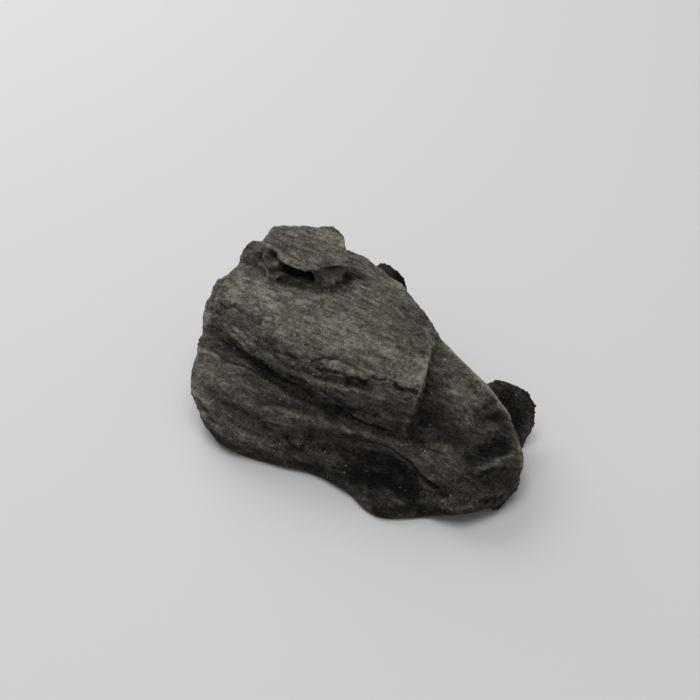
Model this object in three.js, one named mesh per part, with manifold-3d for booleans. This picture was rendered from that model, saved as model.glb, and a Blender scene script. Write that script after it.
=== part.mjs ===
// A hand-sized piece of dark, fine-grained foliated rock, resting on a flat parting face.
// Its long axis lies along X, the rounded nose at +X. A worn top sheet drapes over the core
// and has broken off short of the nose, and a small two-layered flake stands on the sheet's
// high end. A blacker bed sticks out in blocks below the back rim. The stone is one solid.
// Millimetres, +Z up.

import * as THREE from "three";
import { ConvexGeometry } from "three/addons/geometries/ConvexGeometry.js";
import { LoftGeometry } from "three/addons/geometries/LoftGeometry.js";
import { mergeVertices } from "three/addons/utils/BufferGeometryUtils.js";
import Module from "manifold-3d";

const wasm = await Module();
wasm.setup();

// ---- Driving dimensions ----------------------------------------------------------------

const sheetEdge = 2.5; // thickness of the top sheet where its rim shows
const coreSections = 50;
const sheetSections = 34;
const coreInset = 0.01; // share of the core's length taken up by the dome of its blunt end
const bluntDome = 4; // depth of that dome
const noseDome = 2; // and of the dome at the nose
const sheetDome = 0.8; // and at both ends of the sheet
const frontSteps = 3; // spline steps between two lines in front and on top
const backSteps = 2; // and behind

// The ribs along the foliation: how each one runs, and its height.
const ribs = [
  { wave: new THREE.Vector3(0.05, -0.5, 1.9), height: 0.22 },
  { wave: new THREE.Vector3(0.35, 1.1, -0.8), height: 0.13 },
];
const ribPush = new THREE.Vector3(0, -0.4, 0.8);

const towardsNose = new THREE.Vector3(0.84, 0.54, 0); // the way both ends of the stone face
const domeParts = [0.25, 0.5, 0.75, 1];
const flakeMiddle = [-30, 12]; // the flake's plates tilt about this point
const groundWidth = 200; // the block that cuts the resting face
const groundDepth = 20;

// ---- Lines of the core -----------------------------------------------------------------
// Each runs along the stone, from its blunt end to its nose. They go round it from the back
// of the base, up the back wall, over the top and down the front.

const backUnder = [[-46, 6, -3], [-26, 25, -3], [-3, 22, -3], [20, 13, -3], [46, -1, -3]];
const backBase = [[-50, 8, 2], [-40, 22, 1], [-26, 31, 1], [-14, 32, 1], [-3, 27, 1], [8, 24, 1],
  [20, 17, 1], [31, 13, 2], [40, 9, 3], [48, 1, 2]];
const bedFace = [[-53, 7, 9], [-47, 19, 9], [-40, 28, 9], [-27, 34, 10], [-15, 36, 10], [-4, 30, 8],
  [7, 27, 8], [20, 20, 7], [31, 17, 8], [40, 14, 7], [49, 3, 6]];
const bedTop = [[-54, 6, 17], [-48, 16, 17], [-41, 24, 16], [-27, 31, 17], [-16, 33, 17], [-5, 28, 15],
  [6, 25, 13], [19, 18, 13], [30, 15, 14], [38, 12, 13], [46, 5, 10]];
const notch = [[-53, 5, 21], [-47, 13, 20], [-40, 20, 20], [-25, 26, 20], [-12, 25, 19], [3, 19, 18],
  [17, 13, 17], [30, 9, 15], [44, 5, 12]];
const band = [[-53, 6, 25], [-47, 15, 25], [-40, 22, 25], [-25, 28, 24], [-12, 27, 23], [3, 20, 22],
  [17, 14, 20], [30, 10, 18], [43, 5, 15]];
const rim = [[-51.5, 7, 29], [-46, 15, 30], [-39, 21, 30], [-25, 26, 29], [-6, 22, 28], [10, 15, 27],
  [17, 12.5, 26.5], [27, 9.2, 24.4], [35.6, 7.5, 21.6], [43, 5, 18.6]];
const brow = [[-52.5, 0.5, 29], [-38, 3, 30], [-15, 5, 30], [-5, 7, 29], [9, 9, 27], [17, 9.5, 26],
  [28, 7.7, 24.1], [36.4, 6.6, 21.3], [43.4, 4.4, 18.6]];
const saddle = [[-53.5, -4, 26.5], [-39, -3, 28], [-14, -5, 28], [4, -3, 26], [12, -1, 25], [20, 2, 24],
  [29, 5, 22.5], [37, 5, 19.5], [44.5, 3.5, 17.5]];
const slope = [[-52.5, -9, 23.5], [-39, -9, 25], [-14, -13, 24], [4, -12, 23], [13, -9, 21], [22, -6, 20],
  [31, 0, 20.5], [38, 3, 18], [46, 3, 16]];
const heel = [[-49, -14, 21.5], [-36, -16, 22], [-14, -19, 21], [5, -18, 20], [14, -15, 19],
  [23, -11, 17.5], [34, -7, 17.5], [41, -3, 15.5], [48.5, 1, 14]];
const groove = [[-47, -18, 21], [-39, -18, 21], [-26, -20.5, 20], [-15, -22, 19.5], [4, -21.5, 18],
  [14, -20, 17], [23, -17.5, 16.5], [35, -12, 16.5], [43, -8, 13.5], [51, -1, 12]];
const shelf = [[-45, -22, 20.5], [-37, -23.5, 20.5], [-16, -25, 20], [4, -23.5, 19], [13, -21.5, 18.5],
  [24, -19.5, 17], [38, -18, 14.5], [47.5, -12.5, 14.5], [53.5, -5, 10]];
const crest = [[-42.5, -29, 18], [-33, -31.5, 18.5], [-23, -33, 18], [-3, -29, 17.5], [7.5, -26.5, 17],
  [15.5, -23.5, 16.5], [26, -22.5, 15], [40, -22.8, 10.8], [46, -21, 12], [50.5, -17, 12], [54, -8, 9]];
const hollow = [[-41.5, -32, 15], [-34, -33, 14], [-15, -32, 12.5], [0, -27.5, 10.3], [8, -23.5, 9],
  [18, -20.5, 7], [26, -21.5, 6.2], [32, -24.5, 6.3], [39.3, -24.5, 7.7], [45.5, -24, 9.5],
  [50, -19.5, 9.5], [54.5, -10.5, 7]];
const roll = [[-41, -33, 13], [-35, -35.5, 10.5], [-25, -37, 9.5], [-6, -33, 8], [5, -31.5, 6],
  [16, -33, 4.4], [27, -32, 4.6], [38.5, -26.3, 5.5], [44.5, -25.6, 7.3], [49.5, -21.5, 7], [53.7, -12.5, 5]];
const belly = [[-40, -33.5, 10], [-34, -37, 6], [-26, -38.5, 4], [-17, -37, 2.5], [2, -32.5, 2],
  [13, -33, 2], [26, -36, 2], [37, -28.6, 1.8], [42, -27.4, 4.3], [47, -25.2, 5.8], [51, -19.8, 4.4],
  [53.4, -14, 3.6]];
const frontUnder = [[-38, -28, -3], [-26, -33, -3], [2, -27, -3], [26, -30, -3], [37, -23, -1],
  [45, -17, 1], [48, -13, -1]];
const midUnder = [[-43, -11, -3], [-26, -4, -3], [2, -3, -3], [26, -9, -3], [46, -8, -3]];

const coreLines = [
  [backUnder, backSteps], [backBase, backSteps], [bedFace, backSteps], [bedTop, backSteps],
  [notch, backSteps], [band, backSteps], [rim, backSteps], [brow, frontSteps], [saddle, frontSteps],
  [slope, frontSteps], [heel, frontSteps], [groove, frontSteps], [shelf, frontSteps],
  [crest, frontSteps], [hollow, frontSteps], [roll, frontSteps], [belly, frontSteps],
  [frontUnder, backSteps], [midUnder, backSteps],
];

// ---- Lines of the top sheet, from the blunt end to the break -----------------------------

const sheetRim = [[-49.5, 8.5, 32.5], [-39.5, 20, 33], [-25, 26.5, 32.5], [-18, 26.5, 32], [-6, 23.5, 31],
  [3, 19.5, 30.5], [10, 16, 29], [15, 13.5, 27.5]];
const sheetCrown = [[-49.3, 1, 31.3], [-38, 3, 34], [-25, 4, 34], [-14, 5.5, 33.5], [-5, 7, 32.5],
  [3, 8.5, 31.5], [9, 9, 30], [16, 9, 28]];
const sheetFace = [[-49.2, -6, 28.8], [-39, -2, 32], [-26, -4, 32], [-14, -5, 31.5], [4, -3, 30],
  [12, -1, 29], [18.5, 1, 27.5]];
const sheetFold = [[-48.4, -9.5, 26.5], [-39, -8.5, 28], [-25, -12, 28.5], [-14, -14.5, 28], [4.5, -14, 27],
  [13, -10.5, 26.5], [21, -7, 25.5]];
const sheetLedge = [[-48, -11.5, 25], [-38, -12, 26], [-25, -15, 26.5], [-14, -16.5, 26.5],
  [4.5, -15, 25], [13, -11.5, 25], [21.5, -8.5, 24]];
const sheetStep = [[-47.4, -13, 24.3], [-37, -15.5, 25.2], [-23, -18.5, 25.2], [-13, -20, 24.7],
  [-3, -20.5, 24], [5.5, -19, 24], [13.5, -16, 24], [22.5, -12.5, 23]];
const sheetFoot = [[-47, -14.5, 23.6], [-36, -17, 24.5], [-23, -20, 24.5], [-13, -21, 24],
  [-3, -21.5, 23], [5.5, -22, 22.5], [17, -21, 22], [24.5, -20, 21.5]];

const moved = (line, dx, dy, dz) => line.map(([x, y, z]) => [x + dx, y + dy, z + dz]);
const sheetLines = [
  [moved(sheetRim, 0, -6, -5), 1], [moved(sheetRim, 0, 0.5, -sheetEdge), 1],
  [sheetRim, frontSteps], [sheetCrown, frontSteps], [sheetFace, frontSteps],
  [sheetFold, frontSteps], [sheetLedge, frontSteps], [sheetStep, frontSteps],
  [sheetFoot, frontSteps], [moved(sheetFoot, 0, 0.5, -4), 1], [moved(sheetFoot, 0, 8, -6), 1],
];

// ---- Dents worn into the core ------------------------------------------------------------

// Each is a stroke from one point to another, as wide and pushed in as given.

const dents = [
  { from: [42, -14.5, 13], to: [46.3, -4, 13.5], width: 2.6, push: [-0.6, 0.4, -2] },
  { from: [36.5, -0.5, 17], to: [40, 2.5, 17], width: 2, push: [0, 0, -1.6] },
  { from: [47, -16.5, 11], to: [51.5, -10.5, 10.5], width: 1.8, push: [-0.8, 0.6, -0.6] },
  { from: [31, -26, 11], to: [40, -22.5, 7], width: 1.8, push: [0, 1.4, -0.4] },
  { from: [24, -15, 17], to: [26, -3, 20], width: 3.5, push: [0, 0, -1.2] },
];

// ---- Flake, shoulder and blocks ----------------------------------------------------------

const plates = {
  backLayer: { low: 29, high: 35.2, tilt: [3, 1], outline: [[-48, 7], [-46, 12], [-39, 18], [-32, 23],
    [-26, 24.5], [-23, 21.5], [-18, 18], [-18.5, 14], [-19.5, 10], [-20, 7.5], [-21.5, 5.6],
    [-23.8, 4.4], [-26.5, 3.2], [-29.8, 2.7], [-32, 2.3], [-37, 2.5], [-44, 5]] },
  middleLayer: { low: 34, high: 41.7, tilt: [1, 2], outline: [[-42.5, 8], [-42, 12.5], [-37, 16],
    [-31, 20.5], [-26, 21], [-22.5, 18.5], [-20.5, 15.8], [-22, 12.5], [-26, 8.5], [-29, 6.5],
    [-33, 6], [-36, 6.2], [-39.5, 6.5]] },
  topLayer: { low: 41.5, high: 42.5, tilt: [1, 2], outline: [[-42, 6.6], [-43, 10.6], [-43, 13],
    [-38, 16], [-35.6, 18.7], [-31.8, 20], [-31, 22], [-28, 23.6], [-25.2, 23], [-22.8, 21.5],
    [-20.9, 18.8], [-19, 15.8], [-16, 13.3], [-13.3, 10.7], [-15.2, 10.3], [-17.2, 9.1], [-19, 7.4],
    [-20.8, 5], [-22.2, 2.8], [-23, 1.8], [-25.4, 1.4], [-28, 1.2], [-30.2, 1], [-31.9, 1.8],
    [-33.9, 2.7], [-34.6, 4], [-36, 4], [-37.3, 4.6], [-38.6, 3.6], [-39.5, 4.6], [-41, 5]] },
  upperStair: { low: 31, high: 38.5, tilt: [0, 0], outline: [[-41.2, 5], [-39.5, 2.8], [-37.6, 1.2],
    [-35.3, -0.2], [-34.3, 2.2], [-34.5, 9], [-41, 11]] },
  lowerStair: { low: 30, high: 36, tilt: [0, 0], outline: [[-37.2, 0.3], [-35, -0.7], [-33, 0.6],
    [-32.2, 3.5], [-32, 8], [-37.5, 8]] },
};

const blocks = {
  shoulder: [[-50, 3, 31], [-49.7, 6, 35], [-49.8, 8.3, 36.4], [-49, 10.3, 36.6], [-46, 12.8, 36.6],
    [-43, 10.5, 36.2], [-43.5, 6, 35], [-46, 4.6, 33.5], [-42, 15, 31], [-49, 14, 29], [-44, 3, 32]],
  lowRim: [[-51.5, 2, 28.5], [-52.7, -1, 28.4], [-53.1, -2.4, 28], [-52.9, -4.5, 27.6],
    [-51.9, -7.2, 27.2], [-51.1, -8.8, 26.4], [-50.7, -9.9, 25.4], [-48, 2, 29], [-48, -8, 26.5],
    [-50, 0, 20], [-49, -8, 20], [-45, 2, 20], [-45, -8, 20]],
  wedge: [[-25.4, 6.3, 37.6], [-17.7, 14.1, 37], [-16.7, 11, 34.6], [-17.8, 8, 33.6], [-19.4, 6, 33],
    [-24, 11, 33], [-19, 15, 33], [-25, 9, 38.5], [-19, 15.5, 38]],
  noseBlock: [[33, 9, 17], [34, 14.8, 18.4], [41.3, 17.8, 16.7], [43.6, 18.2, 14.9], [45.5, 17.5, 12.2],
    [47.8, 14.6, 7.6], [47, 12, 2.6], [46.4, 10.5, 0.2], [45.2, 8.8, 0.2], [42, 7, 1.5], [35, 18, 10],
    [35, 15, 3], [42, 15, 3], [28, 8, 4], [40, 2, 10], [28, 14, 12], [26, 16, 6]],
  backBlock: [[-22, 31, 21], [-20, 37, 22.6], [-16.5, 38.5, 22.4], [-14, 38.5, 21],
    [-11.2, 38.5, 18], [-10.8, 38.5, 14.6], [-9, 34.5, 13],
    [-11, 35, 6], [-22, 38, 8], [-17, 38.5, 13], [-27, 33, 15], [-23, 34, 3], [-10, 30, 3],
    [-12, 26, 15]],
  noseBed: [[52, -15.5, 0.5], [53.5, -13.5, 2], [55, -9, 5], [53.5, -6, 7], [46, -16.5, -1], [44, -12, 5],
    [50, -4, -1], [46, -4, 6], [50, -14.5, 4.5]],
};

// ---- Solids ------------------------------------------------------------------------------

// The point at fraction t of a line, measured along X.
function lineAt(line, t) {
  const xs = line.map((p) => p[0]);
  const x = THREE.MathUtils.lerp(xs[0], xs.at(-1), t);
  const [y, z] = new THREE.CubicInterpolant(xs, line.flatMap((p) => p.slice(1)), 2).evaluate(x);
  return new THREE.Vector3(x, y, z);
}

function section(lines, t) {
  const ring = new THREE.CatmullRomCurve3(lines.map(([line]) => lineAt(line, t)), true, "centripetal");
  return lines.flatMap(([, steps], i) =>
    Array.from({ length: steps }, (_, k) => ring.getPoint((i + k / steps) / lines.length)));
}

// Rings that close a section over a low dome.
function dome(ring, outward, depth) {
  const centre = new THREE.Box3().setFromPoints(ring).getCenter(new THREE.Vector3());
  return domeParts.map((part) => {
    const angle = (part * Math.PI) / 2;
    const rise = outward.clone().multiplyScalar(depth * Math.sin(angle));
    return ring.map((p) => p.clone().lerp(centre, 1 - Math.cos(angle)).add(rise));
  });
}

function loft(lines, count, inset, bluntDepth, noseDepth) {
  const body = Array.from({ length: count }, (_, i) =>
    section(lines, THREE.MathUtils.lerp(inset, 1, i / (count - 1))));
  const bluntEnd = dome(body[0], towardsNose.clone().negate(), bluntDepth);
  return [...bluntEnd.reverse(), ...body, ...dome(body.at(-1), towardsNose, noseDepth)];
}

function dented(p) {
  const point = p.clone();
  for (const { from, to, width, push } of dents) {
    const stroke = new THREE.Line3(new THREE.Vector3(...from), new THREE.Vector3(...to));
    const nearest = stroke.closestPointToPoint(p, true, new THREE.Vector3());
    const share = Math.exp(-nearest.distanceToSquared(p) / (width * width));
    point.addScaledVector(new THREE.Vector3(...push), share);
  }
  return point;
}

function ribbed(p) {
  const rise = ribs.reduce((sum, { wave, height }) => sum + height * Math.sin(wave.dot(p)), 0);
  return p.clone().addScaledVector(ribPush, rise);
}

function solid(geometry) {
  const bare = new THREE.BufferGeometry();
  bare.setAttribute("position", geometry.getAttribute("position"));
  bare.setIndex(geometry.getIndex());
  const merged = mergeVertices(bare, 1e-4);
  const corners = [...merged.index.array];
  const triangles = [];
  for (let i = 0; i < corners.length; i += 3) {
    const triangle = corners.slice(i, i + 3);
    if (new Set(triangle).size === 3) triangles.push(...triangle);
  }
  return new wasm.Manifold(new wasm.Mesh({
    numProp: 3,
    vertProperties: new Float32Array(merged.attributes.position.array),
    triVerts: new Uint32Array(triangles),
  }));
}

function plate({ low, high, tilt, outline }) {
  const [midX, midY] = flakeMiddle;
  const shape = new THREE.Shape(outline.map(([x, y]) => new THREE.Vector2(x - midX, y - midY)));
  const geometry = new THREE.ExtrudeGeometry(shape, { depth: high - low, bevelEnabled: false });
  geometry.rotateX(THREE.MathUtils.degToRad(tilt[0]));
  geometry.rotateY(THREE.MathUtils.degToRad(tilt[1]));
  return solid(geometry.translate(midX, midY, low));
}

const block = (points) => solid(new ConvexGeometry(points.map((p) => new THREE.Vector3(...p))));

const core = loft(coreLines, coreSections, coreInset, bluntDome, noseDome);
const sheet = loft(sheetLines, sheetSections, 0, sheetDome, sheetDome);
const dentedCore = core.map((ring) => ring.map((p) => ribbed(dented(p))));
const ribbedSheet = sheet.map((ring) => ring.map(ribbed));
let stone = solid(new LoftGeometry(dentedCore)).add(solid(new LoftGeometry(ribbedSheet)));
for (const points of Object.values(blocks)) stone = stone.add(block(points));
for (const layer of Object.values(plates)) stone = stone.add(plate(layer));
const ground = new THREE.BoxGeometry(groundWidth, groundWidth, groundDepth);
stone = stone.subtract(solid(ground.translate(0, 0, -groundDepth / 2)));

function geometryOf(manifold) {
  const mesh = manifold.getMesh();
  const geometry = new THREE.BufferGeometry();
  geometry.setAttribute("position", new THREE.BufferAttribute(mesh.vertProperties, 3));
  geometry.setIndex(new THREE.BufferAttribute(mesh.triVerts, 1));
  geometry.computeVertexNormals();
  return geometry;
}

const material = new THREE.MeshStandardMaterial({ color: 0x4d4a45, roughness: 0.9, metalness: 0 });
const shape = geometryOf(stone);
const box = new THREE.Box3().setFromBufferAttribute(shape.getAttribute("position"));
const middle = box.getCenter(new THREE.Vector3());
shape.translate(-middle.x, -middle.y, 0);
const rock = new THREE.Mesh(shape, material);
rock.name = "rock";
const model = new THREE.Group();
model.add(rock);
export default model;
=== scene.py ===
# A hand-sized piece of dark, fine-grained foliated rock lying on a pale table: one natural
# piece, with a worn top sheet, a two-layered flake on its high end, a rounded nose, and a
# blacker bed that sticks out in blocks under the back rim. The nose points to the right, +x,
# and -y is the front. The mesh is in metres; places and depths on its skin are in millimetres.

import math

import bpy
import numpy as np
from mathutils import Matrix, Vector, kdtree, noise


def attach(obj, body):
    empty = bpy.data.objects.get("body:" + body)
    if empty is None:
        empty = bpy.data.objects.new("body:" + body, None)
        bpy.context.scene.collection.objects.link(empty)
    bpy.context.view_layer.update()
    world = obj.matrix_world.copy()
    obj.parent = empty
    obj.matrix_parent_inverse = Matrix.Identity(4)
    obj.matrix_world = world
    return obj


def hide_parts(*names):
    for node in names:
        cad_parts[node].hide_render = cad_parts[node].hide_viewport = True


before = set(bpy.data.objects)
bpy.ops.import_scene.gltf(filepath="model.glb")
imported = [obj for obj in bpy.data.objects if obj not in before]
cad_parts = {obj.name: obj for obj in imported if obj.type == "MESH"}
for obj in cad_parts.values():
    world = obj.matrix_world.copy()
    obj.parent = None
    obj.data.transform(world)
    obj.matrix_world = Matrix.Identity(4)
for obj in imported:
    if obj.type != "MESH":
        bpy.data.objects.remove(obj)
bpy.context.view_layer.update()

# ---- Stone: the body ---------------------------------------------------------------------
# The whole stone is one piece of foliated rock. Its form is the construction's solid, with
# the facets rounded off and the broken edges kept, on a skin fine enough for the relief.

MM = 0.001
SAME_POINT = 0.01 * MM
BROKEN_EDGE = math.radians(22)
SKIN_MESH = 0.5 * MM

bpy.ops.object.select_all(action="DESELECT")
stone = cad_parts["rock"].copy()
stone.data = stone.data.copy()
stone.name = "weathered_stone"
stone.parent = None
bpy.context.scene.collection.objects.link(stone)
bpy.context.view_layer.objects.active = stone
stone.select_set(True)

bpy.ops.object.mode_set(mode="EDIT")
bpy.ops.mesh.select_mode(type="EDGE")
bpy.ops.mesh.select_all(action="SELECT")
bpy.ops.mesh.remove_doubles(threshold=SAME_POINT)
bpy.ops.mesh.select_all(action="DESELECT")
bpy.ops.mesh.edges_select_sharp(sharpness=BROKEN_EDGE)
bpy.ops.transform.edge_crease(value=1.0)
bpy.ops.object.mode_set(mode="OBJECT")


def finish_with(kind, **settings):
    """Adds a modifier to the stone and applies it."""
    modifier = stone.modifiers.new(kind, kind)
    for name, value in settings.items():
        setattr(modifier, name, value)
    bpy.ops.object.modifier_apply(modifier=modifier.name)


finish_with("SUBSURF", levels=2, render_levels=2)
finish_with("REMESH", mode="VOXEL", voxel_size=SKIN_MESH)
finish_with("SMOOTH", factor=0.5, iterations=2)

# ---- Stone: worn edges -------------------------------------------------------------------
# Weather has rubbed some broken edges round: the left part of the sheet's front edge and the
# back of the flake most, and the foot of the sheet, the knob and the rim of the nose less. Each
# edge has its reach, its rounds of rubbing and its line, seen from above.

LINE_STEP = 0.4
LINE_WANDER = 0.35
WANDER_LUMP = (2.5, 2.5, 2.5)
FAR = 99


def skin(what):
    """Every point or normal of the skin; points are in millimetres."""
    values = np.empty(3 * len(stone.data.vertices))
    stone.data.vertices.foreach_get(what, values)
    return values.reshape(-1, 3) / (MM if what == "co" else 1)


def uneven(points, lengths, seed):
    """Smooth noise, about -1 to 1, whose lumps are as long, wide and high as given."""
    places = points / np.array(lengths) + seed
    return 1.6 * np.array([noise.noise(place) for place in places.tolist()])


def lookup(points):
    """Finds the points near a place, a little unevenly, as no line on stone runs straight."""
    wander = np.column_stack([uneven(points, WANDER_LUMP, seed) for seed in (1.3, 4.7, 9.2)])
    tree = kdtree.KDTree(len(points))
    for index, place in enumerate((points + LINE_WANDER * wander).tolist()):
        tree.insert(place, index)
    tree.balance()
    return tree


def from_above(path):
    """Places on the skin under a line of (x, y) drawn from above."""
    return drop(path, lambda x, y: Vector((x, y, FAR)), Vector((0, 0, -1)))


def from_front(path):
    """Places on the skin behind a line of (x, z) drawn from the front."""
    return drop(path, lambda x, z: Vector((x, -FAR, z)), Vector((0, 1, 0)))


def drop(path, eye, way):
    """Where a line meets the skin, step by step along it, looking from the eye along the way."""
    places = []
    for start, end in zip(path[:-1], path[1:]):
        start, end = Vector(start), Vector(end)
        for share in np.arange(0, 1, LINE_STEP / (end - start).length):
            hit, place, _, _ = stone.ray_cast(eye(*start.lerp(end, share)) * MM, way)
            if hit:
                places.append(place / MM)
    return places


def near(places, reach):
    """How near each point of the skin is to the places: 1 on them and 0 past the reach."""
    share = np.zeros(len(points))
    for place in places:
        for _, index, distance in tree.find_range(place, reach):
            share[index] = max(share[index], 1 - distance / reach)
    return share


def ramp(value, start, end):
    """Goes smoothly from 0 at start to 1 at end."""
    share = np.clip((value - start) / (end - start), 0, 1)
    return share * share * (3 - 2 * share)


def finish_where(share, kind, **settings):
    """Adds and applies a modifier that moves each point of the skin by its share, 0 to 1."""
    group = stone.vertex_groups.new(name="share")
    for index in np.nonzero(share)[0].tolist():
        group.add([index], share[index], "REPLACE")
    finish_with(kind, vertex_group=group.name, **settings)
    stone.vertex_groups.clear()


def wear(places, reach, rounds):
    """Rubs the skin smooth around the places."""
    share = ramp(near(places, reach), 0.0, 0.6)
    finish_where(share, "SMOOTH", factor=0.5, iterations=rounds)


worn_edges = {
    "sheet_front": (4.5, 50, [(-47, -14), (-36, -16.5), (-23, -19.5), (-12, -21)]),
    "sheet_foot": (2.5, 15, [(-8, -21.5), (5, -22), (17, -21)]),
    "flake_back_left": (3.5, 30, [(-39, 17), (-35, 22), (-30, 23.5)]),
    "flake_back_right": (3, 20, [(-20, 24), (-17, 20), (-16.5, 16)]),
    "knob": (2, 10, [(45.5, 14), (46, 11.5)]),
}
nose_rim = [(17, 12), (27, 9), (36, 7), (42, 4.5), (47, 2), (51, -2), (53, -6)]

points = skin("co")
tree = lookup(points)
for reach, rounds, path in worn_edges.values():
    wear(from_above(path), reach, rounds)
rim_places = from_above(nose_rim)
wear(rim_places, 3, 12)

# The layers and the grain that follow are shallow within 6 mm of the nose's rim.
calm_rim = 1 - 0.8 * near(rim_places, 6)

# ---- Stone: broken layers ----------------------------------------------------------------
# The foliation dips gently to the front and the right. Where the surface cuts across it the
# layers break off in small steps, strongest on the front of the top sheet and on the back wall.
# The resting face stays flat.

DIP_TO_RIGHT = 0.09
DIP_TO_FRONT = 0.22
THICK_LAYER = 1.5
THIN_LAYER = 0.7

points = skin("co")
x, y, z = points.T
layer = z + DIP_TO_RIGHT * x - DIP_TO_FRONT * y
layer += 0.7 * uneven(points, (34, 9, 9), 3.1)
layer += 0.25 * uneven(points, (9, 3, 3), 8.4)


def displace(height):
    """Moves the skin along its normals, outwards where the height in millimetres is above 0."""
    for way in (1, -1):
        part = np.clip(way * height, 0, None)
        finish_where(part / part.max(), "DISPLACE", strength=way * part.max() * MM, mid_level=0)


def above_base():
    """0 on the resting face and 1 from 2 mm above it."""
    return ramp(points[:, 2], 0.3, 2.0)


def steps(thickness, lip):
    """Steps of the given thickness, each with its own patchy strength."""
    level = layer / thickness
    tread = level - np.floor(level)
    step = np.minimum(tread / lip, (1 - tread) / (1 - lip))
    own = np.column_stack([x / 13, y / 9, 5.3 * np.floor(level) + z / 30])
    return step * np.clip(0.35 + uneven(own, (1, 1, 1), 2.7), 0, 1)


# The sheet's front lies before y = -2 to -9 and above z = 18 to 20, as far as its broken end.
sheet_front = ramp(-y, 2, 9) * ramp(z, 18, 20) * ramp(-x, -24, -20)
back_wall = ramp(skin("normal")[:, 1], 0.1, 0.6)
coarse_steps = steps(THICK_LAYER, 0.15) * (0.12 + 0.4 * sheet_front + 0.3 * back_wall)
fine_steps = steps(THIN_LAYER, 0.2) * (0.06 + 0.3 * sheet_front + 0.12 * back_wall)
displace(calm_rim * above_base() * (coarse_steps + fine_steps - 0.1))

# ---- Stone: cracks and creases -----------------------------------------------------------
# Each is a line drawn on the skin with its width, its depth and its points, seen from above as
# (x, y) or from the front as (x, z), in millimetres; a negative depth is a ridge.

cracks_from_above = {
    "rim_crevice": (0.6, 0.8, [(-47, -9.5), (-44.5, -10), (-43, -8.5), (-39, -9.5)]),
    "rim_dent": (0.9, 0.4, [(-36, -10), (-32.5, -11)]),
    "face_edge": (0.5, 0.5, [(-32.5, -14.5), (-24.5, -16), (-21.5, -17), (-15, -16.5)]),
    "torn_sliver": (0.4, 0.4, [(-14.5, -13), (-10, -12)]),
    "first_layer": (0.4, 0.45, [(-40, -13.5), (-28, -17), (-16, -19.5), (-4, -18.5)]),
    "second_layer": (0.4, 0.4, [(-42.5, -14), (-29, -19), (-18, -21)]),
    "arched_layer": (0.5, 0.5, [(-11, -16.5), (-9, -15.5), (-7, -13.5), (-4, -13)]),
    "short_layer": (0.5, 0.6, [(-8, -17), (-4.5, -16), (0.5, -15)]),
    "pocket_roof": (0.7, 1.0, [(1, -15.5), (2.5, -15), (4, -14.5), (6, -14), (8, -12.5), (11, -11)]),
    "pocket": (1.8, 0.7, [(2.5, -15.5), (6.5, -14.5)]),
    "pocket_ledge": (0.8, -0.4, [
        (-12, -19.5), (-7, -20.5), (-1.5, -19), (3, -17.5), (9, -16), (13, -15),
    ]),
    "sharp_crack": (0.5, 1.4, [(14, -10.5), (17.5, -9.5), (20.5, -8.5)]),
    "small_crack": (0.35, 0.4, [(18.5, -12), (20, -10)]),
    "sheet_foot": (0.5, 0.4, [(-18, -21), (-12.5, -21), (-2, -21.5), (5, -22), (12.5, -21.5)]),
    "groove": (1.3, 0.7, [
        (-48, -16.5), (-34, -18.5), (-17, -22.5), (-9.5, -23.5), (5, -22.5), (13, -21), (24, -19),
    ]),
    "second_groove": (0.6, 0.5, [(-42.5, -21), (-39.5, -22), (-35.5, -23), (-25, -22)]),
    "nose_gully": (1.2, 0.6, [(35, 0.5), (36, 3), (37.5, 5)]),
    "deep_gully": (1.6, 0.8, [(40, -13.5), (41.5, -9), (43, -5), (45, -1)]),
    "nose_ridge": (0.9, -0.4, [(44.5, -16.5), (46, -14), (47, -10.5), (48, -7), (49, -4.5)]),
    "nose_crevice": (0.7, 0.7, [(46, -17), (47.5, -14.5), (49, -12), (50, -9.5)]),
    "nose_rim": (0.6, -0.3, [(34, 6), (38, 5), (41, 4), (44, 2), (47, 0), (50, -2), (52, -4)]),
}
cracks_from_front = {
    "roll_crevice": (0.6, 0.6, [(-9, 10), (-4.5, 8), (-3.5, 9.5)]),
    "low_seam": (0.6, 0.35, [(-38.5, 12), (-35, 10.5), (-30, 8.5)]),
    "crest_edge": (0.7, -0.35, [
        (-15.5, 18), (-3, 18), (7.5, 17.5), (15.5, 16.5), (23.5, 14.5), (27.5, 13), (34, 9.5),
    ]),
    "crease": (0.8, 0.8, [(27.5, 12), (31, 10), (33, 8.5), (35.5, 8), (38, 7.5), (40, 8)]),
    "nub": (1.0, -0.5, [(39, 6.5), (41.5, 7)]),
    "lip_crack": (0.5, 0.6, [(48, 8), (50, 7.5), (52, 6.5)]),
}


def drawn(lines_from_above, lines_from_front):
    """All the lines, dropped on the skin, each after its own two numbers."""
    lines = [(one, other, from_above(path)) for one, other, path in lines_from_above.values()]
    lines += [(one, other, from_front(path)) for one, other, path in lines_from_front.values()]
    return lines


points = skin("co")
tree = lookup(points)
painted_crack_shade = np.zeros(len(points))
cut = np.zeros(len(points))
for width, depth, places in drawn(cracks_from_above, cracks_from_front):
    share = near(places, 2 * width) ** 2
    cut -= depth * share
    painted_crack_shade = np.maximum(painted_crack_shade, np.sign(depth) * share)

# ---- Stone: patches ----------------------------------------------------------------------
# The lower bed is darker, partly its own blacker colour and partly painted shade, and blackish
# where it sticks out in blocks at the back. Every other patch is a line on the skin with its
# factor, below 1 for darker, its reach and its points. Most are painted shade in hollows, cracks
# and under overhangs, or painted light on crests, rims, lips and faces turned up to the light.

PATCH_FRAY = 0.2
FRAY_LUMP = (6, 3, 3)

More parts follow.
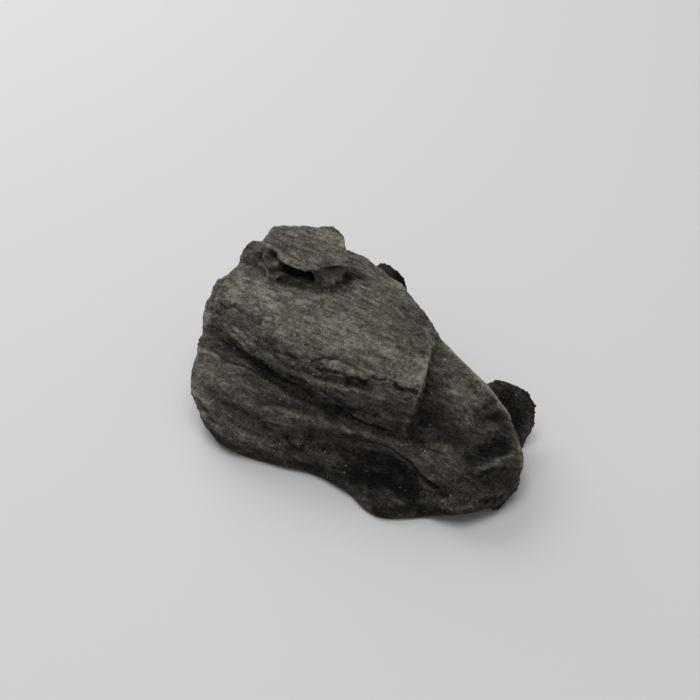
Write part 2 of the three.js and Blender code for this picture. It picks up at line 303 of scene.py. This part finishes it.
shades_from_above = {
    # The top of the sheet: paler partly from wear and partly from painted light where it faces up, with
    # painted shade in its dips.
    "worn_and_lit_face": (1.35, 15, [(-40, 2), (-20, 3), (0, 1)]),
    "palest_wear_and_light": (1.3, 7, [(-45, -4), (-39, -6), (-30, -7), (-18, -9), (-10, -9)]),
    "pale_end": (1.35, 5, [(-45, -6), (-40, -6)]),
    "left_edge": (0.8, 3, [(-50, -8), (-46, -11.5), (-42, -11.5)]),
    "pale_rim": (1.3, 3.5, [(-29, -10.5), (-22, -10.5), (-12, -10.5)]),
    "pale_middle": (1.4, 6, [(-11, -3), (-5, -4), (4, -5)]),
    "shaded_dip": (0.72, 3, [(-5, -13), (0, -11.5), (2, -13)]),
    "middle_dip": (0.85, 3, [(6, -5.5), (3.5, 3.5)]),
    "pale_back": (1.25, 5, [(-14, 9), (-8, 13)]),
    "back_rim": (0.75, 3, [(8, 14), (13, 12.5)]),
    "below_flake": (1.9, 3, [(-37.5, -1.5), (-34.5, -1), (-29, 0)]),
    # Its broken right end: paler partly from wear, with painted light on its edge and painted shadow at
    # its foot.
    "wear_and_light_at_break": (1.35, 5, [(14, -7), (18.5, -4), (18.5, 0)]),
    "break_edge": (1.5, 2, [(17.5, 3), (18.5, -1), (19.5, -5)]),
    "foot_of_break": (0.8, 4, [(23, -10.5), (24, -12.5), (25, -15)]),
    # Its front, from the torn layers down to the foot: darker partly for its rough broken layers and
    # partly as painted shade where it turns to the front, with more painted shade in its gaps, hollows and
    # pocket, and painted light on its lips, ledges and corner.
    "torn_band": (0.7, 2.5, [(-13, -17), (-4.5, -16), (0.5, -15)]),
    "torn_gap": (0.55, 3, [(-11, -19), (-7, -20)]),
    "torn_hollow": (0.5, 3, [(-2, -13), (0, -13)]),
    "torn_lip": (2.4, 2, [(-4, -14.5), (0.5, -14.5), (3, -15), (5.5, -15.5)]),
    "pocket": (0.65, 2, [(1.5, -16), (5, -15), (8, -13.5)]),
    "pocket_ledge": (1.9, 1.5, [
        (-12, -19.5), (-7, -20.5), (-1.5, -19), (4, -16.5), (9, -16), (13, -15),
    ]),
    "slope": (0.5, 6, [(-26, -18), (-7, -20), (7, -20), (22, -18)]),
    "slope_start": (0.75, 3.5, [(-37, -13.5), (-30, -13.5), (-25, -13.5)]),
    "slope_dip": (0.7, 2.5, [(-28, -16.5), (-24, -19)]),
    "slope_end": (0.58, 5, [(10, -17), (16, -15), (21, -13)]),
    "sheet_wall": (1.6, 2.5, [(-26, -19.5), (-18, -20.5)]),
    "sheet_corner": (2.3, 3, [(17, -20.5), (20.5, -20), (23, -19.5)]),
    "foot_line": (2.0, 1.5, [(15, -19.5), (19, -19.5), (23, -18.5)]),
    # The groove below the sheet, and the shelf between it and the crest: mostly painted shade, in the
    # groove and on the shelf, with painted light on the left rim and part of the shelf.
    "rim_end": (0.5, 5, [(-46, -13.5), (-40, -14)]),
    "left_rim": (1.4, 2, [(-49.5, -13), (-48, -15.5)]),
    "groove": (0.5, 4, [(-48, -20), (-43, -20.5), (-34, -20), (-24, -20)]),
    "groove_middle": (0.6, 4, [(-28, -24), (-21, -24)]),
    "groove_side": (0.85, 4, [(-37, -20), (-30, -24), (-23, -28)]),
    "groove_end": (0.6, 4, [(-16, -27), (-10, -25.5), (-3, -25), (2, -24.5)]),
    "groove_shelf": (1.45, 3, [(-17, -27), (-9, -24.5)]),
    "crest_back": (0.75, 3, [(-18, -29), (-10, -27.5)]),
    "shelf_dark": (0.6, 3.5, [(2, -24.5), (9, -23.5), (14, -22), (20, -20.5)]),
    "shelf_end": (0.7, 2.5, [(20, -21), (24, -19.5), (27, -18)]),
    # The floor of the hollow under the crest, behind the toe: painted shade, deepest on the floor, over
    # the dark bed.
    "hollow_start": (0.45, 4, [(8.5, -30), (11, -28.5), (14.5, -25.5)]),
    "hollow_floor": (0.14, 4.5, [(14, -29.5), (18, -28), (22, -26), (30, -27)]),
    "hollow_back": (0.35, 3.5, [(17, -27.5), (22, -25), (26, -25.5)]),
    "toe_back": (0.5, 3.5, [(18, -31.5), (23, -31), (24.5, -32.5)]),
    # The nose, with its rim and its gullies: painted highlights on its rim, ridge and flank, painted shade
    # in its gullies and folds and on its front.
    "nose_flank": (2.7, 5, [(27, 2.5), (29.5, 5.5), (36, 4)]),
    "nose_side": (1.5, 5, [(25, 0), (29, -1), (33, -1)]),
    "nose_brow": (1.6, 3.5, [(32, -1), (35, -4)]),
    "nose_dark": (0.5, 5, [(26, -9), (31, -10), (36, -12)]),
    "nose_middle": (1.5, 4, [(32, -20), (36, -19), (38.5, -19)]),
    "nose_cheek": (1.25, 3, [(39, -18), (39, -14)]),
    "nose_chin": (0.75, 3, [(40, -23), (44, -22.5), (47, -21)]),
    "nose_fold": (0.7, 4, [(40, -20), (45, -18.5), (49, -17.5)]),
    "nose_band": (0.65, 2.5, [(45.5, -19), (48, -17), (50, -13)]),
    "nose_front": (0.6, 5, [(43.5, -13), (47, -14.5), (50, -15.5), (52.5, -9)]),
    "nose_ridge": (1.8, 1.6, [(46, -14), (47, -10.5), (48, -7), (49, -4.5)]),
    "deep_gully": (0.45, 2.5, [(42, -14.5), (43.5, -10.5), (45, -6.5), (46.5, -2.5)]),
    "gully_bank": (1.2, 2, [(40, -13), (40.5, -8), (42, -5)]),
    "nose_rim": (2.2, 1.2, nose_rim),
    "rim_side": (0.6, 3, [(37, 2), (39, 3), (41, 3.5), (43, 2)]),
    "rim_line": (1.8, 1, [(38, 5.5), (41, 4.5), (44, 3), (47, 1.5), (49.5, -1)]),
    # The flake, the cavity at its foot and the stone's left shoulder, with painted light on the flake's
    # top and painted shade under its edges and in the pit beside the wedge.
    "flake_top": (1.4, 6, [(-29, 17), (-24, 17)]),
    "flake_left": (0.8, 4, [(-39, 4), (-34, 8), (-27, 7)]),
    "flake_tip": (0.6, 3, [(-40.5, 6), (-40, 10)]),
    "flake_front": (0.62, 3.5, [(-36, 4.5), (-30, 3), (-24, 3.5), (-19, 8), (-15, 11)]),
    "flake_corner": (0.65, 2.5, [(-22, 7), (-19, 8.5), (-16, 11)]),
    "wedge_pit": (0.25, 4, [(-17, 14.5), (-16, 16.5)]),
    "beside_flake": (0.5, 3, [(-43.5, 5.5), (-43.5, 9)]),
    "stairs": (0.5, 3, [(-39, 3.5), (-37, 1.5), (-35, 0.5)]),
    "shoulder": (0.6, 5, [(-49, 8), (-43, 4)]),
    "left_shoulder": (0.8, 3, [(-48, -2), (-48.5, -6), (-48, -10)]),
    # The blackish blocks at the back: the small one, and the knob beside the nose, with painted light on
    # the knob's top and corner.
    "back_block": (0.2, 4, [(-14, 37.5), (-12.5, 36.5)]),
    "knob_face": (0.45, 4, [(38, 12.5), (41, 10.5), (43.5, 10.5)]),
    "knob_top": (1.5, 2.5, [(36, 14.5), (40, 16)]),
    "knob_corner": (1.9, 4, [(45, 13), (46, 11.5)]),
}
shades_from_front = {
    # Under the flake: painted shadow in the cavity and on the wedge's top and side, and painted light on
    # the wedge's facet.
    "under_flake": (0.15, 3, [(-33, 36), (-28, 35.5), (-25, 35)]),
    "cavity_floor": (0.35, 2, [(-33, 34.5), (-28.5, 34), (-25, 34.5), (-22.5, 34.5), (-21, 33.5)]),
    "wedge": (2.0, 2.5, [(-22.5, 36.5), (-20, 35), (-19.5, 36)]),
    "wedge_top": (0.6, 1.5, [(-21.5, 37.5), (-18, 37.5)]),
    "wedge_side": (0.6, 1.5, [(-18.5, 33.5), (-18, 35)]),
    # The foot of the sheet and the crest below it: painted highlights along them and painted shade under
    # the crest.
    "sheet_foot": (2.4, 2.5, [(-4, 21), (2, 19.5), (5, 19)]),
    "crest_start": (1.5, 1.5, [(-15, 18), (-6, 18), (2, 17.5)]),
    "crest_edge": (2.4, 1.8, [(7, 17.5), (12, 17), (15, 16.5)]),
    "crest_under": (0.65, 2.5, [(7, 16), (13, 15.5)]),
    "crest_end": (0.6, 2, [(25, 13), (28.5, 11.5), (31, 10)]),
    # The hollow under the crest and the toe in front of it: painted shade in the hollow and at the toe's
    # foot, and painted light on the hollow's roof, the crest's foot and the toe.
    "hollow_roof": (2.4, 3, [(0, 11), (5, 10.5), (12, 11), (20, 11.5), (25, 10.5)]),
    "hollow": (0.7, 3.5, [(8, 7), (14, 6.5), (22, 6), (30, 6)]),
    "crest_foot": (1.4, 2, [(16, 7), (20, 7), (24, 7.5)]),
    "toe_top": (1.5, 1.5, [(18, 4.5), (22, 4.5), (25, 4.5)]),
    "toe_side": (1.3, 2, [(18, 3), (21.5, 2.5)]),
    "toe_foot": (0.3, 3, [(24, 2), (27, 3), (30, 3.5), (34, 4)]),
    # The left end, the roll and the belly below it: painted light where they face up and out, and painted
    # shade in the left hollow and low on the belly.
    "left_end": (1.4, 5, [(-39, 13), (-35, 12)]),
    "left_hollow": (0.65, 3, [(-30, 12), (-26, 12)]),
    "left_foot": (0.5, 3, [(-33, 7), (-29, 6)]),
    "roll_patch": (2.2, 3.5, [(-14, 14), (-6, 12.5)]),
    "roll_top": (1.4, 2, [(-9.5, 13), (-8, 15.5)]),
    "roll_dark": (0.9, 2.5, [(-7, 9.5), (-4, 9)]),
    "belly_streak": (2.1, 2.2, [(-20, 8.5), (-14, 7.5), (-9, 7)]),
    "belly": (0.5, 4, [(-30, 4), (-20, 2.5), (-4, 3), (10, 3.5)]),
    "belly_dark": (0.6, 4, [(-6, 6), (-1, 5.5), (3, 5.5)]),
    # The lip of the nose: painted light along the lip and painted shade in its seam and at the nose's
    # foot.
    "lip_root": (1.4, 2.5, [(32, 7), (34, 7.5)]),
    "lip": (1.5, 1.3, [(38, 5), (44, 6.8), (47.5, 7)]),
    "lip_nub": (1.5, 1.6, [(40, 7), (42, 8.5)]),
    "lip_seam": (0.5, 1.2, [(49.5, 7.5), (51, 6.8), (52.5, 6.5)]),
    "nose_foot": (0.4, 2.2, [(35, 2.5), (42, 4.5), (47, 5.5), (51, 4.5)]),
}

knob = near([(38, 15, 12), (44, 14, 10)], 12)
back_block = near([(-20, 36, 14), (-12, 36, 15)], 13)
blocks = ramp(np.maximum(knob, back_block) + 0.15 * uneven(points, (5, 5, 5), 5.5), 0.15, 0.4)
# A small facet low on the knob gets painted light.
knob_facet = near([(46, 11, 4)], 5)

# The lower bed starts below z = 25 to 22 and fades out to the left. It is darker partly as the
# stone's blacker bed and partly as painted shade on its low, front-facing parts.
low_bed_and_painted_shade = ramp(-points[:, 2], -25, -22) * ramp(points[:, 0], -45, -5)
tone_and_painted_light = (1 - 0.58 * low_bed_and_painted_shade) * (1 - 0.5 * blocks) * (1 + 0.9 * knob_facet)

patches_drawn = drawn(shades_from_above, shades_from_front)
reaches = {reach for _, reach, _ in patches_drawn}
frayed = {reach: PATCH_FRAY * uneven(points, FRAY_LUMP, reach) for reach in reaches}
for factor, reach, places in patches_drawn:
    tone_and_painted_light *= 1 + (factor - 1) * ramp(near(places, reach) + frayed[reach], 0.1, 0.7)
displace(cut)

# ---- Stone: weathered grain --------------------------------------------------------------
# Shallow dents and streaks drawn out along the foliation, a fine sugary grain, and flat chips
# broken off the blackish blocks.

CHIP = 2.5
CHIP_DEPTH = 0.03
HALF = Vector((0.5, 0.5, 0.5))

points = skin("co")


def chips(size, seed):
    """Flat chips about the given size, each tilted its own way; height is -1 to 1 of the size."""
    height = []
    for place in (points / size + seed).tolist():
        middle = noise.voronoi(place)[1][0]
        height.append((Vector(place) - middle).dot(noise.cell_vector(40 * middle) - HALF))
    return 2 * size * np.array(height)


dents = 0.35 * uneven(points, (11, 6, 6), 12.9) + 0.16 * uneven(points, (5, 3, 3), 17.2)
streaks = 0.18 * uneven(points, (6, 1.5, 1.5), 21.4) + 0.1 * uneven(points, (2.5, 0.9, 0.9), 33.8)
grain = 0.09 * uneven(points, (0.9, 0.8, 0.8), 41.2)
chipped = CHIP_DEPTH * blocks * chips(CHIP, 6.1)
displace(calm_rim * above_base() * (dents + streaks + grain + chipped))
bpy.ops.object.shade_smooth()

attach(stone, "root")
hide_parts("rock")

# ---- Stone: the finish -------------------------------------------------------------------
# Dark grey-brown stone with a fine salt-and-pepper grain, streaked along the foliation: paler
# where it is worn, blackish in its lower bed, with painted shade in its cracks, hollows and
# recesses, painted light on its crests, rims and up-facing faces, and small painted glints of mica.

# The brown is for the dark and painted-shade parts, the grey for the pale and painted-light parts.
DARK_AND_SHADED_BROWN = (0.104, 0.081, 0.064, 1)
PALE_AND_LIT_GREY = (0.088, 0.085, 0.072, 1)
FINE_GRAIN = 0.34
COARSE_GRAIN = 0.75
GLOSS = 0.12


def bulge(rounds):
    """How far each point stands out, in millimetres, from the skin smoothed that many times."""
    smoothed = stone.modifiers.new("smoothed", "SMOOTH")
    smoothed.iterations = rounds
    evaluated = stone.evaluated_get(bpy.context.evaluated_depsgraph_get())
    values = np.empty(3 * len(stone.data.vertices))
    evaluated.data.vertices.foreach_get("co", values)
    stone.modifiers.remove(smoothed)
    return ((skin("co") - values.reshape(-1, 3) / MM) * skin("normal")).sum(axis=1)


sharpness = bulge(10)
swelling = bulge(250)
# Painted shade in the cracks and, below, in small hollows; the sharp edges get lighter, partly from wear
# and partly as painted highlight.
tone_and_painted_light *= 1 - 0.65 * np.clip(painted_crack_shade, 0, 1)
tone_and_painted_light *= 1 - 0.45 * ramp(-sharpness, 0.02, 0.2)
tone_and_painted_light *= 1 + 0.6 * ramp(sharpness, 0.03, 0.22)
# Bulging parts get lighter and sunken ones darker: partly wear, partly painted light and painted shade.
tone_and_painted_light *= np.clip(1 + 0.375 * swelling, 0.55, 1.45)
# The attribute holds the stone's own tone together with its painted shade and painted light.
stone.data.attributes.new("tone_and_painted_light", "FLOAT", "POINT").data.foreach_set("value", tone_and_painted_light)

foliated = bpy.data.materials.new("foliated_stone")
foliated.use_nodes = True
nodes = foliated.node_tree.nodes
links = foliated.node_tree.links
shader = nodes["Principled BSDF"]


def add(kind, *sources, **settings):
    """A node with its settings made and its first inputs linked to the sources, in order."""
    node = nodes.new("ShaderNode" + kind)
    for name, value in settings.items():
        if name in node.inputs:
            node.inputs[name].default_value = value
        else:
            setattr(node, name, value)
    for socket, source in zip(node.inputs, sources):
        links.new(source, socket)
    return node


def scaled(value, low, high, start=0.0, end=1.0):
    """A value between start and end, and held there, brought to the range from low to high."""
    node = add("MapRange", value)
    for name, number in zip(("From Min", "From Max", "To Min", "To Max"), (start, end, low, high)):
        node.inputs[name].default_value = number
    return node.outputs["Result"]


def times(one, other):
    """The product of two values."""
    return add("Math", one, other, operation="MULTIPLY").outputs["Value"]


def plus(one, other):
    """The sum of two values."""
    return add("Math", one, other, operation="ADD").outputs["Value"]


def cells(size, seed):
    """Grains of the given size in millimetres."""
    place = add("Mapping", in_mm, Location=(seed, seed, seed)).outputs["Vector"]
    return add("TexVoronoi", place, Scale=1 / size)


def each_cell(grains, channel):
    """A random value from 0 to 1 for every grain."""
    return add("SeparateColor", grains.outputs["Color"]).outputs[channel]


def clouds(length, width):
    """Cloudy patches as long along the foliation and as wide across it as given, in mm."""
    place = add("Mapping", in_mm, Scale=(1 / length, 1 / width, 1 / width)).outputs["Vector"]
    return add("TexNoise", place, Scale=1.0, Detail=3.0, Roughness=0.65).outputs["Fac"]


in_mm = add("Mapping", add("TexCoord").outputs["Object"], Scale=(1 / MM, 1 / MM, 1 / MM)).outputs["Vector"]
fine = cells(FINE_GRAIN, 0)
coarse = cells(COARSE_GRAIN, 7)
fibres = clouds(7, 1.2)
mottle = clouds(11, 5)
blotches = clouds(3, 1.6)
# This reads the stone's own tone together with its painted shade and painted light.
painted_light_and_tone = add("Attribute", attribute_name="tone_and_painted_light").outputs["Fac"]

# Each pattern makes the stone darker or lighter by a share. Then come the patches, the stone's own
# tone mixed with painted shade and painted light, and then the salt and pepper, which shows most where the
# stone is dark.
tone = times(scaled(fibres, 0.55, 1.45, 0.3, 0.7), scaled(mottle, 0.65, 1.35, 0.3, 0.7))
tone = times(tone, scaled(blotches, 0.62, 1.38, 0.3, 0.7))
tone = times(tone, scaled(each_cell(fine, "Red"), 0.6, 1.4))
tone = times(tone, scaled(each_cell(coarse, "Green"), 0.75, 1.25))
tone = plus(times(tone, painted_light_and_tone), scaled(each_cell(fine, "Blue"), -0.13, 0.13))
tone = scaled(tone, 0.03, 3.0, 0.03, 3.0)

# One coarse grain in about fifty is a flake of mica. Its middle is painted much brighter, a painted glint,
# and made smoother, which gives it a real glint as well.
mica = scaled(each_cell(coarse, "Blue"), 0.0, 1.0, 0.975, 0.985)
painted_glint_and_gloss = times(mica, scaled(coarse.outputs["Distance"], 1.0, 0.0, 0.2, 0.35))
tone = plus(tone, scaled(painted_glint_and_gloss, 0.0, 2.5))

# The tint turns browner where the stone is dark or has painted shade, and greyer where it is pale or has
# painted light.
hue = plus(scaled(each_cell(fine, "Green"), 0.0, 0.25), scaled(mottle, 0.0, 0.25))
tint = add("ValToRGB", plus(hue, scaled(painted_light_and_tone, 0.0, 0.4, 0.3, 1.1)))
tint.color_ramp.elements[0].color = DARK_AND_SHADED_BROWN
tint.color_ramp.elements[1].color = PALE_AND_LIT_GREY
body = add("VectorMath", tint.outputs["Color"], operation="SCALE")
links.new(tone, body.inputs["Scale"])
links.new(body.outputs["Vector"], shader.inputs["Base Color"])

grit = add("TexNoise", in_mm, Scale=2.6, Detail=3.0, Roughness=0.6).outputs["Fac"]
bump = add("Bump", Strength=0.8, Distance=0.14 * MM)
links.new(plus(grit, fibres), bump.inputs["Height"])
links.new(bump.outputs["Normal"], shader.inputs["Normal"])
links.new(scaled(painted_glint_and_gloss, 0.8, 0.3), shader.inputs["Roughness"])
shader.inputs["Specular IOR Level"].default_value = GLOSS
stone.data.materials.clear()
stone.data.materials.append(foliated)

# ---- Table -------------------------------------------------------------------------------
# A wide, pale, matt table top. It only sets the stage and is no part of the stone.

TABLE_SIZE = 6
TABLE_COLOUR = (0.75, 0.745, 0.75, 1)

bpy.ops.object.select_all(action="DESELECT")
bpy.ops.mesh.primitive_plane_add(size=TABLE_SIZE)
table = bpy.context.object
table.name = "table_top"
pale = bpy.data.materials.new("pale_table")
pale.use_nodes = True
table_finish = pale.node_tree.nodes["Principled BSDF"].inputs
table_finish["Base Color"].default_value = TABLE_COLOUR
table_finish["Roughness"].default_value = 0.7
table_finish["Specular IOR Level"].default_value = 0.2
table.data.materials.append(pale)

# ---- Light -------------------------------------------------------------------------------
# A bright room, a wide soft light overhead and a second one that stands behind the stone to
# the left, like a window.

ROOM_COLOUR = (0.97, 0.98, 1.0, 1)
ROOM_LIGHT = 0.28

room = bpy.data.worlds.new("bright_room")
room.use_nodes = True
room.node_tree.nodes["Background"].inputs["Color"].default_value = ROOM_COLOUR
room.node_tree.nodes["Background"].inputs["Strength"].default_value = ROOM_LIGHT
bpy.context.scene.world = room

for name, size, watts, place in (
    ("ceiling_softbox", 0.6, 4.0, (0.04, -0.14, 1.0)),
    ("window_softbox", 0.8, 5.4, (-0.77, 0.39, 0.5)),
):
    bpy.ops.object.light_add(type="AREA", location=place)
    lamp = bpy.context.object
    lamp.name = name
    lamp.data.shape = "SQUARE"
    lamp.data.size = size
    lamp.data.energy = watts
    lamp.rotation_euler = lamp.location.to_track_quat("Z", "Y").to_euler()

# ---- Camera ------------------------------------------------------------------------------
# It looks down on the stone from the front, a third of the way round to the nose.

AZIMUTH = math.radians(33)
ELEVATION = math.radians(42)
DISTANCE = 473.8 * MM
AIM = Vector((-20.1, 19.1, 0)) * MM
SENSOR = 36
LENS = 77.97

back = Vector((
    math.sin(AZIMUTH) * math.cos(ELEVATION),
    -math.cos(AZIMUTH) * math.cos(ELEVATION),
    math.sin(ELEVATION),
))
bpy.ops.object.camera_add(location=AIM + DISTANCE * back)
camera = bpy.context.object
camera.rotation_euler = back.to_track_quat("Z", "Y").to_euler()
camera.data.sensor_width = SENSOR
camera.data.lens = LENS
camera.data.clip_start = 10 * MM
bpy.context.scene.camera = camera
bpy.context.scene.view_settings.view_transform = "Standard"
